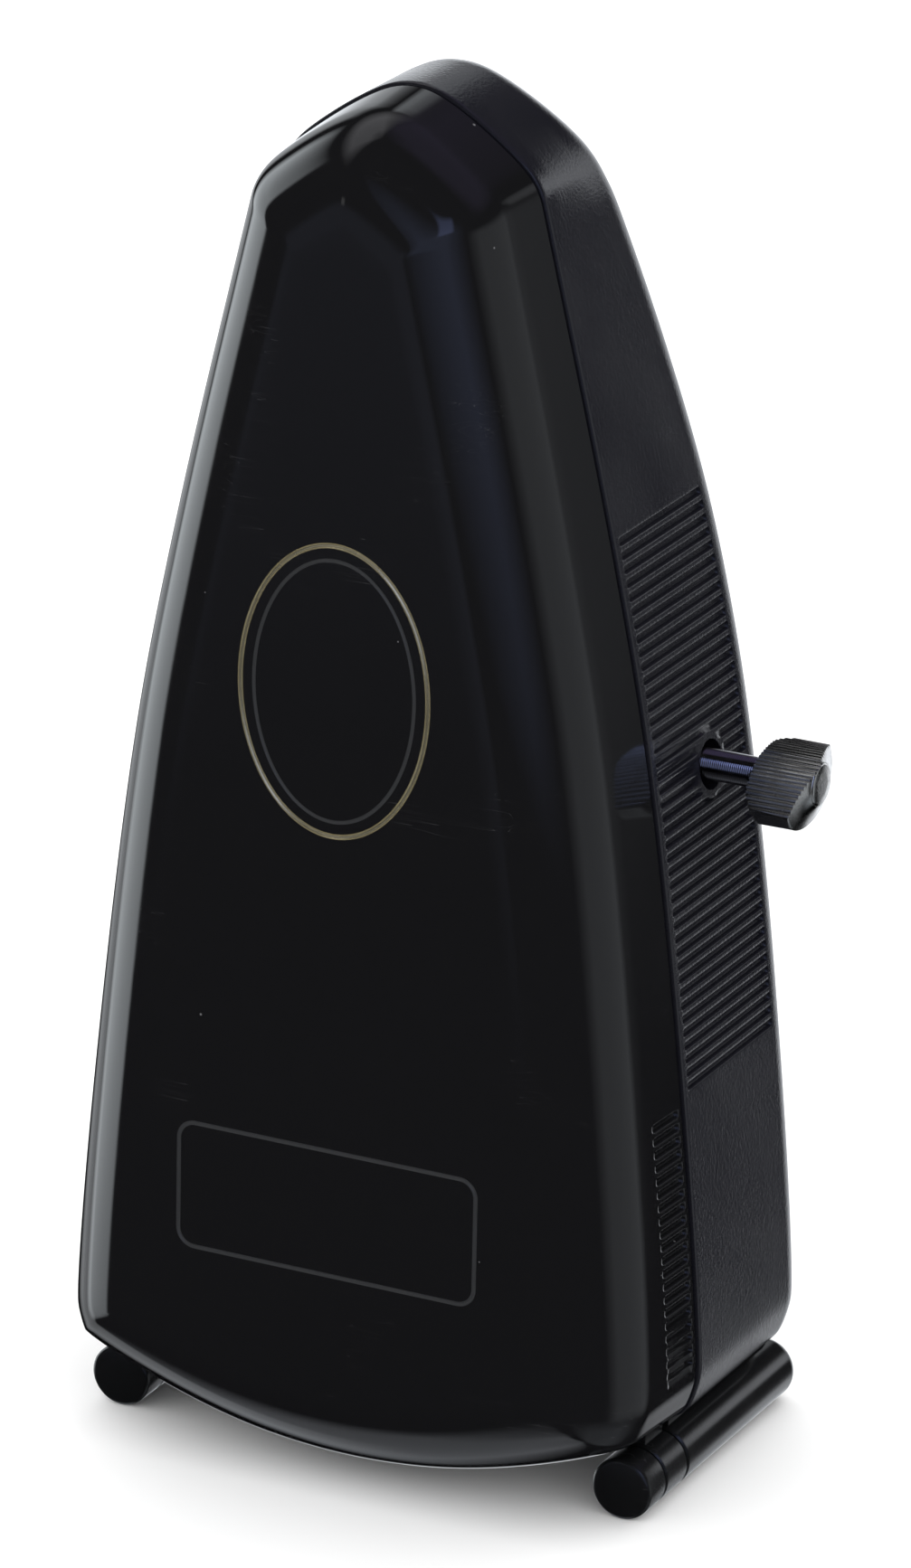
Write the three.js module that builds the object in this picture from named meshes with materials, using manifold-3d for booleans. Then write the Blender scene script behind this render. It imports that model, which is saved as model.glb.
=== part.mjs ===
// Pocket clockwork metronome, closed and standing on its two foot bars.
// Millimetres, +Z up, front towards -Y. The origin is on the ground, on the
// plane of symmetry, in the plane where the cover meets the case.
import * as THREE from "three";
import { mergeVertices } from "three/addons/utils/BufferGeometryUtils.js";
import Module from "manifold-3d";

const wasm = await Module();
wasm.setup();

// ---- driving dimensions ----
// Right half of the parting outline, [x, z], from the crown down to the belly.
const OUTLINE = [
  [0, 157], [3.3, 156.4], [7.7, 154], [12.1, 150.8], [14.4, 148.6],
  [15.6, 146.4], [16.3, 143.4], [18.4, 134.8], [22.3, 118.4], [25.9, 101.8],
  [28.8, 86.6], [31.3, 68.8], [33.4, 50], [35.2, 31], [36.1, 17.5],
  [35.95, 13.4], [35, 10.6], [32.9, 8.6], [25, 5.4], [16, 2.8], [8, 1.45],
  [0, 1],
];
// Depth of the case back behind the parting plane, [z, y].
const BACK = [
  [1, 27.3], [60, 27.7], [90, 27.4], [105, 26.7], [115, 25.3],
  [131, 21.9], [144, 18.2], [152, 15.9], [157, 13.5],
];
const BACK_ROUND = 4.5; // rounding of the case's rear edge
const FACE_DEPTH = 20.4; // cover face in front of the parting plane at z = 0
const FACE_LEAN = 0.028; // the face leans back by this much per mm of height
const FACE_ROUND = 10.4; // rounding of the cover's front edge
const DRAFT = 0.075; // taper of the cover's sides per mm of depth
const COVER_STEP = 0.3; // the cover is this much smaller than the case
const CASE_WALL = 2;
const COVER_WALL = 1.8;
const FIT = 0.15; // half the gap at the parting plane
const SPINE_LOW = 24; // the sections fan out below and above these heights
const SPINE_HIGH = 138;

const MARK_DEPTH = 0.3; // depth of the plain marks in the cover's face
const OVAL_Z = 94;
const NAMEPLATE_Z = 34;

const RIB_PITCH = 1.53;
const RIB_GROOVE = 1.0;
const RIB_DEPTH = 0.5;
const CASE_RIBS = { top: 109.1, count: 41, front: 1.3, rear: 4.9 };
const COVER_RIBS = { top: 45.6, count: 20, front: -6.4, rear: -0.8 };

const KEY = { y: 13.9, z: 80.6 }; // winding axis, parallel to X
const KEY_HOLE = 2.8;
const KEY_LAND = 3.7; // plain ring round the hole, free of grooves
const KNOB = { tip: 43.1, rim: 41.6, heel: 37.5, back: 35.7, r: 5.92 };
const KNOB_BUTTON = 2.35;
const KNOB_TURN = (205.4 * Math.PI) / 180; // direction of the broad grip
const KNOB_CROWN = 2.4; // bulge of the serrated face
const KNOB_BELLY = 4.3; // bulge of the plain face
const SERRATIONS = 24;

const FOOT = { x: 31.5, r: 3.6, rear: 28.5, joint: -5.4, front: -9.8 };

const MODULE = 0.4; // of every gear
const GREAT_TEETH = 50;
const SECOND_PINION_TEETH = 10;
const SECOND_TEETH = 40;
const ESCAPE_PINION_TEETH = 8;
const MESH_EASE = 0.1; // extra centre distance
const SECOND_Z =
  KEY.z - (MODULE * (GREAT_TEETH + SECOND_PINION_TEETH)) / 2 - MESH_EASE;
const ESCAPE_Z =
  SECOND_Z - (MODULE * (SECOND_TEETH + ESCAPE_PINION_TEETH)) / 2 - MESH_EASE;
const CROWN_TEETH = 15;
const CROWN_R = 6;
const RATCHET_TEETH = 12;

const PLATE = { x: 13.4, t: 1.2, y0: 3, y1: 24.4, z0: 46.5, z1: 97 };
const PANEL = { y0: 1.1, y1: 2.6, inset: 2.4 };
const ROD = { y: -4, r: 0.9, foot: 28.3, tip: 131 };
const BOSSES = [
  [-10.5, 137], [10.5, 137], [-28, 24], [28, 24],
];

// ---- materials ----
const finish = (color, roughness, metalness = 0) =>
  new THREE.MeshStandardMaterial({ color, roughness, metalness });
const CASE_BLACK = finish(0x15161c, 0.32);
const COVER_BLACK = finish(0x08080a, 0.12);
const FOOT_BLACK = finish(0x0b0c0e, 0.3);
const PANEL_GREY = finish(0x2a2b2e, 0.6);
const SCALE_SILVER = finish(0xc9c6ba, 0.35, 0.6);
const BRASS = finish(0xb8923f, 0.3, 1);
const STEEL = finish(0x9b9da1, 0.3, 1);
const BLUED = finish(0x2c3550, 0.3, 1);
const NICKEL = finish(0x8e9092, 0.28, 1);
const RED = finish(0x8c1c1c, 0.4);

// ---- solid helpers ----
function solid(geometry) {
  const g = geometry.index ? geometry.toNonIndexed() : geometry.clone();
  g.deleteAttribute("normal");
  g.deleteAttribute("uv");
  const merged = mergeVertices(g, 1e-4);
  return new wasm.Manifold(
    new wasm.Mesh({
      numProp: 3,
      vertProperties: merged.attributes.position.array,
      triVerts: new Uint32Array(merged.index.array),
    }),
  );
}

function geometryOf(body) {
  const mesh = body.getMesh();
  const g = new THREE.BufferGeometry();
  const position = new Float32Array(mesh.vertProperties);
  g.setAttribute("position", new THREE.BufferAttribute(position, 3));
  g.setIndex(new THREE.BufferAttribute(new Uint32Array(mesh.triVerts), 1));
  g.computeVertexNormals();
  return g;
}

const join = (...parts) => parts.reduce((a, b) => a.add(b));
const cut = (body, ...tools) => tools.reduce((a, b) => a.subtract(b), body);

function box(x0, x1, y0, y1, z0, z1) {
  const g = new THREE.BoxGeometry(x1 - x0, y1 - y0, z1 - z0);
  g.translate((x0 + x1) / 2, (y0 + y1) / 2, (z0 + z1) / 2);
  return solid(g);
}

function rodX(r, x0, x1, y, z, sides = 24) {
  const g = new THREE.CylinderGeometry(r, r, x1 - x0, sides);
  g.rotateZ(Math.PI / 2);
  g.translate((x0 + x1) / 2, y, z);
  return solid(g);
}

function rodY(r, y0, y1, x, z, sides = 24) {
  const g = new THREE.CylinderGeometry(r, r, y1 - y0, sides);
  g.translate(x, (y0 + y1) / 2, z);
  return solid(g);
}

function rodZ(r, z0, z1, x, y, sides = 16) {
  const g = new THREE.CylinderGeometry(r, r, z1 - z0, sides);
  g.rotateX(Math.PI / 2);
  g.translate(x, y, (z0 + z1) / 2);
  return solid(g);
}

// A turned body on the X axis; the profile is [radius, x] from axis to axis.
function turnedX(profile, y, z, sides = 32) {
  const points = profile.map(([r, x]) => new THREE.Vector2(r, x));
  const g = new THREE.LatheGeometry(points, sides);
  g.rotateZ(-Math.PI / 2);
  g.translate(0, y, z);
  return solid(g);
}

// A plate of outline [[y, z], ...] standing across X from x0 to x1.
function sliceX(outline, x0, x1) {
  const shape = new THREE.Shape(outline.map(([y, z]) => new THREE.Vector2(y, z)));
  const g = new THREE.ExtrudeGeometry(shape, {
    depth: x1 - x0,
    bevelEnabled: false,
  });
  g.applyMatrix4(
    new THREE.Matrix4().set(0, 0, 1, x0, 1, 0, 0, 0, 0, 1, 0, 0, 0, 0, 0, 1),
  );
  return solid(g);
}

function interpolate(table, at) {
  const last = table.length - 1;
  const k = Math.max(1, table.findIndex(([t]) => t >= at));
  const i = at >= table[last][0] ? last : k;
  const [t0, v0] = table[i - 1];
  const [t1, v1] = table[i];
  return v0 + ((v1 - v0) * (at - t0)) / (t1 - t0);
}

// ---- shells ----
// The whole outline, counter-clockwise seen from the front, and its edges as
// half planes n.p <= c, so that any inset of it is a clean convex section.
const RING = [
  ...OUTLINE,
  ...OUTLINE.slice(1, -1).reverse().map(([x, z]) => [-x, z]),
];
const EDGES = RING.map(([x, z], i) => {
  const [u, w] = RING[(i + 1) % RING.length];
  const length = Math.hypot(u - x, w - z);
  const n = [(z - w) / length, (u - x) / length];
  return { n, c: n[0] * x + n[1] * z };
});
const SIGN = EDGES[8].n[0] > 0 ? 1 : -1;

function insetPoint([x, z], inset) {
  const base = Math.min(Math.max(z, SPINE_LOW), SPINE_HIGH);
  const length = Math.hypot(x, z - base);
  const [ux, uz] = [x / length, (z - base) / length];
  let reach = Infinity;
  for (const { n, c } of EDGES) {
    const along = SIGN * (n[0] * ux + n[1] * uz);
    if (along > 1e-9) {
      const room = SIGN * (c - n[1] * base) - inset;
      reach = Math.min(reach, room / along);
    }
  }
  return [ux * reach, base + uz * reach];
}

// A solid lofted through sections; each level gives an inset and a y(z).
// Both ends are closed by rungs between mirrored points.
function loft(levels) {
  const count = RING.length;
  const points = [];
  for (const { inset, y } of levels) {
    for (const p of RING) {
      const [x, z] = insetPoint(p, inset);
      points.push(x, y(z), z);
    }
  }
  const faces = [];
  for (let j = 0; j + 1 < levels.length; j += 1) {
    for (let i = 0; i < count; i += 1) {
      const a = j * count + i;
      const b = j * count + ((i + 1) % count);
      faces.push(a, b, b + count, a, b + count, a + count);
    }
  }
  const closeEnd = (base, flip) => {
    for (let i = 0; i < OUTLINE.length - 1; i += 1) {
      const a = base + i;
      const b = base + i + 1;
      const d = base + ((count - i) % count);
      const c = base + (count - i - 1);
      const quad = flip ? [a, b, c, a, c, d] : [c, b, a, d, c, a];
      for (let k = 0; k < 6; k += 3) {
        const tri = quad.slice(k, k + 3);
        if (new Set(tri).size === 3) faces.push(...tri);
      }
    }
  };
  closeEnd(0, false);
  closeEnd((levels.length - 1) * count, true);
  const g = new THREE.BufferGeometry();
  g.setAttribute("position", new THREE.Float32BufferAttribute(points, 3));
  g.setIndex(faces);
  const body = solid(g);
  if (body.volume() > 0) return body;
  const turned = faces.slice();
  for (let i = 0; i < turned.length; i += 3) {
    [turned[i + 1], turned[i + 2]] = [turned[i + 2], turned[i + 1]];
  }
  g.setIndex(turned);
  return solid(g);
}

const backAt = (z) => interpolate(BACK, z);
const faceAt = (z) => FACE_LEAN * z - FACE_DEPTH;

function caseBlank(inset, wall, mouth) {
  const round = BACK_ROUND - wall;
  const steps = 4;
  const levels = [{ inset, y: () => mouth }];
  for (let k = 0; k <= steps; k += 1) {
    const turn = (k / steps) * (Math.PI / 2);
    levels.push({
      inset: inset + round * (1 - Math.cos(turn)),
      y: (z) => backAt(z) - wall - round * (1 - Math.sin(turn)),
    });
  }
  return loft(levels);
}

function coverBlank(inset, wall, mouth) {
  const round = FACE_ROUND - wall;
  const steps = 6;
  const levels = [{ inset, y: () => mouth }];
  for (let k = 0; k <= steps; k += 1) {
    const turn = (k / steps) * (Math.PI / 2);
    const taper = DRAFT * (FACE_DEPTH - FACE_ROUND - 2.6);
    levels.push({
      inset: inset + taper + round * (1 - Math.cos(turn)),
      y: (z) => faceAt(z) + wall + round * (1 - Math.sin(turn)),
    });
  }
  return loft(levels);
}

const FACE_TILT = (-Math.atan(FACE_LEAN) * 180) / Math.PI;

const halfWidth = (z) => insetPoint([30, z], 0)[0];

function grooves({ top, count, front, rear }, rearOf, side, step) {
  const bars = [];
  for (let k = 0; k < count; k += 1) {
    const z = top - k * RIB_PITCH;
    const x = side * (halfWidth(z) - step - RIB_DEPTH);
    const [x0, x1] = side > 0 ? [x, x + 3] : [x - 3, x];
    const y1 = rearOf ? rearOf(z) - rear : rear;
    bars.push(box(x0, x1, front, y1, z - RIB_GROOVE / 2, z + RIB_GROOVE / 2));
  }
  return join(...bars);
}

function rearCase() {
  const hollow = caseBlank(CASE_WALL, CASE_WALL, -2);
  let body = cut(caseBlank(0, 0, FIT), hollow);
  const bosses = BOSSES.map(([x, z]) =>
    rodY(2.4, 3, backAt(z) - 1, x, z, 20),
  );
  const bores = BOSSES.map(([x, z]) => rodY(1, 2, 12, x, z, 12));
  body = cut(join(body, ...bosses), ...bores);
  const land = rodX(KEY_LAND, 20, 40, KEY.y, KEY.z, 28);
  const right = grooves(CASE_RIBS, backAt, 1, 0).subtract(land);
  body = cut(body, right, grooves(CASE_RIBS, backAt, -1, 0));
  body = cut(body, rodX(KEY_HOLE, 20, 40, KEY.y, KEY.z, 28));
  const pegs = [-1, 1].flatMap((s) =>
    [7, 21].map((y) => rodZ(1.5, 4, 14, s * FOOT.x, y)),
  );
  return cut(body, ...pegs);
}

// The cover carries plain relief marks on its face: two upright ovals, one in
// the other, and a blank plate outline. All are shallow grooves that follow
// the leaning face.
function faceOval(halfWidth, halfHeight, line, z) {
  const oval = (w, h, y0, y1) => rodY(1, y0, y1, 0, 0, 56).scale([w, 1, h]);
  const ring = cut(
    oval(halfWidth, halfHeight, -4, MARK_DEPTH),
    oval(halfWidth - line, halfHeight - line, -5, 1),
  );
  return ring.rotate([FACE_TILT, 0, 0]).translate([0, faceAt(z), z]);
}

function facePlate(width, height, line, z) {
  const [w, h] = [width / 2, height / 2];
  const frame = cut(
    box(-w, w, -4, MARK_DEPTH, -h, h),
    box(line - w, w - line, -5, 1, line - h, h - line),
  );
  return frame.rotate([FACE_TILT, 0, 0]).translate([0, faceAt(z), z]);
}

function frontCover() {
  const hollow = coverBlank(COVER_STEP + COVER_WALL, COVER_WALL, 2);
  let body = cut(coverBlank(COVER_STEP, 0, -FIT), hollow);
  for (const side of [-1, 1]) {
    body = cut(body, grooves(COVER_RIBS, null, side, COVER_STEP));
    body = cut(body, rodZ(1.5, 4, 14, side * FOOT.x, -2.9));
  }
  return cut(
    body,
    faceOval(11.6, 16.6, 0.5, OVAL_Z),
    faceOval(9.9, 14.9, 0.35, OVAL_Z),
    facePlate(37, 15, 0.45, NAMEPLATE_Z),
  );
}

// ---- feet ----
// A saddle fills the space between a round foot and the sloping belly above.
function saddle(side, y0, y1, lift) {
  const profile = [
    [29.3, 4.4], [33.6, 4.4], [33.8, 9.1], [32.9, 8.35], [29.3, 6.9],
  ];
  const corner = ([x, z]) => new THREE.Vector2(side * x, z > 5 ? z + lift : z);
  const g = new THREE.ExtrudeGeometry(new THREE.Shape(profile.map(corner)), {
    depth: y1 - y0,
    bevelEnabled: false,
  });
  g.rotateX(Math.PI / 2);
  g.translate(0, y1, 0);
  return solid(g);
}

function footBar(side) {
  const x = side * FOOT.x;
  const bar = rodY(FOOT.r, FIT, FOOT.rear, x, FOOT.r, 32);
  const pegs = join(rodZ(1.2, 4, 11, x, 7), rodZ(1.2, 4, 11, x, 21));
  return join(bar, pegs, saddle(side, 1, 26, 0));
}

function footCollar(side) {
  const x = side * FOOT.x;
  const tube = cut(
    rodY(FOOT.r, FOOT.joint + FIT, -FIT, x, FOOT.r, 32),
    rodY(2.2, FOOT.joint - 1, -1.6, x, FOOT.r, 20),
  );
  const hole = rodY(2.9, -6, 1, x, FOOT.r, 20);
  const seat = cut(saddle(side, -4.8, -0.6, 0.25), hole);
  return join(tube, rodZ(1.2, 6.4, 11, x, -2.9), seat);
}

function footCap(side) {
  const x = side * FOOT.x;
  const cap = rodY(FOOT.r, FOOT.front, FOOT.joint - FIT, x, FOOT.r, 32);
  return join(cap, rodY(1.9, FOOT.joint - 1, -1.9, x, FOOT.r, 20));
}

// ---- dial side ----
function innerPanel() {
  const sheet = loft([
    { inset: PANEL.inset, y: () => PANEL.y0 },
    { inset: PANEL.inset, y: () => PANEL.y1 },
  ]);
  const holes = BOSSES.map(([x, z]) => rodY(1.1, 0, 4, x, z, 16));
  return cut(sheet, ...holes, rodY(2.4, 0, 4, 0, ESCAPE_Z, 24));
}

function scalePlate() {
  return cut(
    box(-8.5, 8.5, 0.3, 0.8, 66, 128),
    rodY(1, 0, 2, 0, 68.5, 12),
    rodY(1, 0, 2, 0, 125.5, 12),
  );
}

function panelScrew([x, z]) {
  const slot = box(x - 3, x + 3, -0.2, 0.35, z - 0.25, z + 0.25);
  const head = rodY(2, 0, 0.9, x, z, 20);
  return cut(join(head, rodY(0.8, 0.5, 9, x, z, 12)), slot);
}

function rodRest() {
  const z = ROD.tip + 3;
  const base = box(-3.5, 3.5, 0.2, 0.9, z, z + 6);
  const fork = cut(
    box(-2.6, 2.6, -5.4, 0.5, z, z + 2),
    box(-1.3, 1.3, -6, -2.6, z - 1, z + 3),
  );
  return join(base, fork);
}

// ---- movement frame ----
const PILLARS = [
  [6.3, 93.5], [21, 93.5], [6.3, 49.8], [21, 49.8],
];
const SPRING_POST = [22.9, 88.15];

function sidePlate(side, bores) {
  const x0 = side * PLATE.x - PLATE.t / 2;
  const x1 = x0 + PLATE.t;
  const sheet = box(x0, x1, PLATE.y0, PLATE.y1, PLATE.z0, PLATE.z1);
  const port = side < 0 ? [] : [rodX(4, x0 - 1, x1 + 1, KEY.y, 57, 24)];
  const holes = bores.map(([y, z, r]) => rodX(r, x0 - 1, x1 + 1, y, z, 20));
  return cut(sheet, ...holes, ...port);
}

function trainPlate() {
  const sheet = box(-7.7, -7, 4, 23.2, 47.4, 70.6);
  return cut(
    sheet,
    ...PILLARS.slice(2).map(([y, z]) => rodX(1.75, -9, -6, y, z, 20)),
    rodX(0.9, -9, -6, KEY.y, ESCAPE_Z, 20),
    rodX(1.1, -9, -6, KEY.y, SECOND_Z, 20),
  );
}

function pillar([y, z]) {
  const reach = PLATE.x - PLATE.t / 2 - FIT;
  const neck = PLATE.x + PLATE.t / 2 + 0.5;
  return join(
    rodX(1.6, -reach, reach, y, z, 20),
    rodX(0.9, -neck, neck, y, z, 16),
  );
}

function springPost() {
  const [y, z] = SPRING_POST;
  const reach = PLATE.x - PLATE.t / 2 - FIT;
  const neck = PLATE.x + PLATE.t / 2 + 0.5;
  return join(
    rodX(1.1, -reach, reach, y, z, 16),
    rodX(0.8, -neck, neck, y, z, 16),
  );
}

function mainspring() {
  const turns = 5.37;
  const steps = 118;
  const strip = 0.34;
  const outer = [];
  const inner = [];
  for (let k = 0; k <= steps; k += 1) {
    const t = k / steps;
    const a = t * turns * 2 * Math.PI - 1.62;
    const r = 2.9 + 6.4 * t + Math.max(0, t - 0.985) * 55;
    const at = (radius) => [
      KEY.y + radius * Math.cos(a),
      KEY.z + radius * Math.sin(a),
    ];
    outer.push(at(r + strip / 2));
    inner.push(at(r - strip / 2));
  }
  return sliceX([...outer, ...inner.reverse()], -6.2, 1.4);
}

function vergeBush() {
  const bore = rodY(1, 0, 4, 0, ESCAPE_Z, 16);
  return cut(rodY(2.2, 0.7, 3, 0, ESCAPE_Z, 24), bore);
}

function rearBearing() {
  const block = box(-4, 4, 22.2, 25.2, ESCAPE_Z - 4, ESCAPE_Z + 4);
  return cut(block, rodY(1, 20, 24.8, 0, ESCAPE_Z, 16));
}

// ---- gears ----
function gearOutline(teeth, y, z, phase, thin) {
  const pitch = (MODULE * teeth) / 2;
  const [root, tip] = [pitch - 1.25 * MODULE, pitch + 0.8 * MODULE];
  const step = (2 * Math.PI) / teeth;
  const points = [];
  for (let k = 0; k < teeth; k += 1) {
    const at = phase + k * step;
    const corners = [
      [root, -0.25 * thin], [tip, -0.1 * thin],
      [tip, 0.1 * thin], [root, 0.25 * thin],
    ];
    for (const [r, f] of corners) {
      const turn = at + f * step;
      points.push([y + r * Math.cos(turn), z + r * Math.sin(turn)]);
    }
  }
  return points;
}

function gear(teeth, x0, x1, z, phase, bore, thin = 1) {
  const blank = sliceX(gearOutline(teeth, KEY.y, z, phase, thin), x0, x1);
  return bore ? cut(blank, rodX(bore, x0 - 1, x1 + 1, KEY.y, z, 20)) : blank;
}

function spokes(body, x0, x1, z, reach, count) {
  let result = body;
  for (let k = 0; k < count; k += 1) {
    const a = ((k + 0.5) / count) * 2 * Math.PI;
    const y = KEY.y + reach * 0.62 * Math.cos(a);
    const h = z + reach * 0.62 * Math.sin(a);
    result = cut(result, rodX(reach * 0.24, x0 - 1, x1 + 1, y, h, 16));
  }
  return result;
}

const CLICK_PIVOT = [0.6, 7.2]; // from the winding axis, in y and z

function greatWheel() {
  let body = gear(GREAT_TEETH, 6, 7.4, KEY.z, Math.PI / 2, 1.85);
  body = spokes(body, 6, 7.4, KEY.z, 10, 5);
  const [y, z] = CLICK_PIVOT;
  return join(body, rodX(0.7, 3.3, 6.5, KEY.y + y, KEY.z + z, 16));
}

function ratchetWheel() {
  const points = [];
  for (let k = 0; k < RATCHET_TEETH; k += 1) {
    const a = (k / RATCHET_TEETH) * 2 * Math.PI;
    const b = ((k + 0.92) / RATCHET_TEETH) * 2 * Math.PI;
    points.push([KEY.y + 3.1 * Math.cos(a), KEY.z + 3.1 * Math.sin(a)]);
    points.push([KEY.y + 4 * Math.cos(b), KEY.z + 4 * Math.sin(b)]);
  }
  return cut(sliceX(points, 3.6, 4.8), rodX(1.75, 3, 5, KEY.y, KEY.z, 20));
}

function click() {
  const [y, z] = CLICK_PIVOT;
  const [Y, Z] = [KEY.y + y, KEY.z + z];
  const outline = [
    [Y - 0.4, Z + 1.2], [Y - 0.9, Z - 0.6], [Y + 1.9, Z - 3.75],
    [Y + 2.75, Z - 3.5], [Y + 1.3, Z + 0.4],
  ];
  const arm = join(sliceX(outline, 3.7, 4.7), rodX(1.3, 3.7, 4.7, Y, Z, 20));
  return cut(arm, rodX(0.85, 3, 6, Y, Z, 16));
}

function clickSpring() {
  const [y, z] = CLICK_PIVOT;
  const [Y, Z] = [KEY.y + y, KEY.z + z];
  const outline = [
    [Y + 5.9, Z - 1.9], [Y + 6.4, Z - 2.5],
    [Y + 3.6, Z - 2.4], [Y + 3.3, Z - 2.1],
  ];
  return sliceX(outline, 3.9, 5.8);
}

function windingArbor() {
  const profile = [
    [0, -14.4], [1.1, -14.4], [1.1, -12.6], [1.6, -12.5], [1.6, -6.3],
    [2.3, -6.3], [2.3, 1.5], [1.6, 1.5], [1.6, 26.8], [1, 26.9],
    [1, 31], [0, 31],
  ];
  return turnedX(profile, KEY.y, KEY.z, 24);
}

// A thin arbor with a pinion whose leaves stand between the teeth above.
function pinionArbor(teeth, z, leaves, ends) {
  const phase = Math.PI / 2 + Math.PI / teeth;
  return join(
    rodX(0.7, ends[0], ends[1], KEY.y, z, 16),
    gear(teeth, leaves[0], leaves[1], z, phase, 0, 0.9),
  );
}

const secondArbor = () =>
  pinionArbor(SECOND_PINION_TEETH, SECOND_Z, [5.4, 8], [-14.4, 14.4]);

const secondWheel = () =>
  gear(SECOND_TEETH, -9.6, -8.6, SECOND_Z, Math.PI / 2, 0.85);

const escapeArbor = () =>
  pinionArbor(ESCAPE_PINION_TEETH, ESCAPE_Z, [-10.2, -8], [-14.4, -3.2]);

// The escape wheel is a crown wheel: its teeth stand on a rim, along +X.
function crownWheel() {
  const rim = cut(
    rodX(CROWN_R, -6.3, -2, KEY.y, ESCAPE_Z, 45),
    rodX(CROWN_R - 0.8, -5.6, -1, KEY.y, ESCAPE_Z, 45),
    rodX(0.85, -7, -5, KEY.y, ESCAPE_Z, 20),
  );
  let body = spokes(rim, -7, -5.5, ESCAPE_Z, 6, 4);
  for (let k = 0; k < CROWN_TEETH; k += 1) {
    const a = (k / CROWN_TEETH) * 360;
    const slot = [[4.4, -0.95], [7, -0.95], [7, 0.55], [4.4, 0.55]];
    const notch = sliceX(slot, -3.9, -1)
      .rotate([a, 0, 0])
      .translate([0, KEY.y, ESCAPE_Z]);
    body = cut(body, notch);
  }
  return body;
}

// ---- key ----
function keyShaft() {
  const profile = [
    [0, 31.6], [1.2, 31.6], [1.2, 27.3], [1.75, 27.3], [1.75, 38.6], [0, 38.6],
  ];
  return turnedX(profile, KEY.y, KEY.z, 32);
}

function keyKnob() {
  const profile = [
    [0, KNOB.back], [2.4, KNOB.back], [KNOB.r, KNOB.heel], [KNOB.r, KNOB.rim],
    [KNOB_BUTTON + 0.2, KNOB.tip - 0.25], [KNOB_BUTTON, KNOB.tip],
    [0, KNOB.tip],
  ];
  const blank = turnedX(profile, KEY.y, KEY.z, 48);
  const [c, s] = [Math.cos(KNOB_TURN), Math.sin(KNOB_TURN)];
  const place = (w, n) => [KEY.y + w * c - n * s, KEY.z + w * s + n * c];
  const grip = [];
  for (let k = 0; k <= SERRATIONS * 2; k += 1) {
    const t = -1 + k / SERRATIONS;
    const depth = k % 2 ? 0.2 : 0;
    grip.push(place(t * 6.2, -KNOB_CROWN * (1 - t * t) + depth));
  }
  for (let k = 1; k < 20; k += 1) {
    const a = (k / 20) * Math.PI;
    grip.push(place(6.2 * Math.cos(a), KNOB_BELLY * Math.sin(a)));
  }
  const prism = sliceX(grip, 30, 50);
  return cut(blank.intersect(prism), rodX(1.9, 30, 38.9, KEY.y, KEY.z, 28));
}

// ---- pendulum ----
function vergeArbor() {
  const arbor = rodY(0.8, -3, 24.4, 0, ESCAPE_Z, 16);
  const hub = rodY(2.6, -6.2, -1.8, 0, ESCAPE_Z, 24);
  return cut(join(arbor, hub), rodZ(1.05, ESCAPE_Z - 5, ESCAPE_Z + 5, 0, ROD.y, 16));
}

function pallet(y, lean) {
  const collar = rodY(1.35, y - 0.8, y + 0.8, 0, ESCAPE_Z, 16);
  const flag = box(-1.9, 0, y - 0.7, y + 0.7, -0.25, 0.25)
    .rotate([0, lean, 0])
    .translate([0, 0, ESCAPE_Z]);
  return cut(join(collar, flag), rodY(0.95, y - 2, y + 2, 0, ESCAPE_Z, 16));
}

function counterweight() {
  const z = 35.5;
  return cut(
    rodY(8.4, -7, -1, 0, z, 40),
    rodZ(1.05, 28, z + 10, 0, ROD.y, 16),
  );
}

function tempoWeight() {
  const z = 100;
  const shape = new THREE.Shape([
    new THREE.Vector2(-5, z + 4.2), new THREE.Vector2(-3.4, z - 4.2),
    new THREE.Vector2(3.4, z - 4.2), new THREE.Vector2(5, z + 4.2),
  ]);
  const g = new THREE.ExtrudeGeometry(shape, {
    depth: 4.6,
    bevelEnabled: false,
  });
  g.rotateX(Math.PI / 2);
  g.translate(0, ROD.y + 2.3, 0);
  return cut(
    solid(g),
    rodZ(1.1, z - 6, z + 6, 0, ROD.y, 16),
    box(-1.4, 1.4, ROD.y - 0.2, ROD.y + 1.6, z - 2.4, z + 2.4),
  );
}

function weightSpring() {
  const z = 100;
  return box(-1, 1, ROD.y + 1.1, ROD.y + 1.3, z - 2.1, z + 2.1);
}

// ---- assembly ----
const root = new THREE.Group();

function place(name, body, material) {
  const mesh = new THREE.Mesh(geometryOf(body), material);
  mesh.name = name;
  root.add(mesh);
}

place("rear_case", rearCase(), CASE_BLACK);
place("front_cover", frontCover(), COVER_BLACK);
for (const [side, label] of [[-1, "left"], [1, "right"]]) {
  place(`foot_bar_${label}`, footBar(side), FOOT_BLACK);
  place(`foot_collar_${label}`, footCollar(side), FOOT_BLACK);
  place(`foot_cap_${label}`, footCap(side), FOOT_BLACK);
}
place("inner_panel", innerPanel(), PANEL_GREY);
place("scale_plate", scalePlate(), SCALE_SILVER);
BOSSES.forEach((at, k) => place(`panel_screw_${k + 1}`, panelScrew(at), STEEL));
place("rod_rest", rodRest(), PANEL_GREY);

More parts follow.
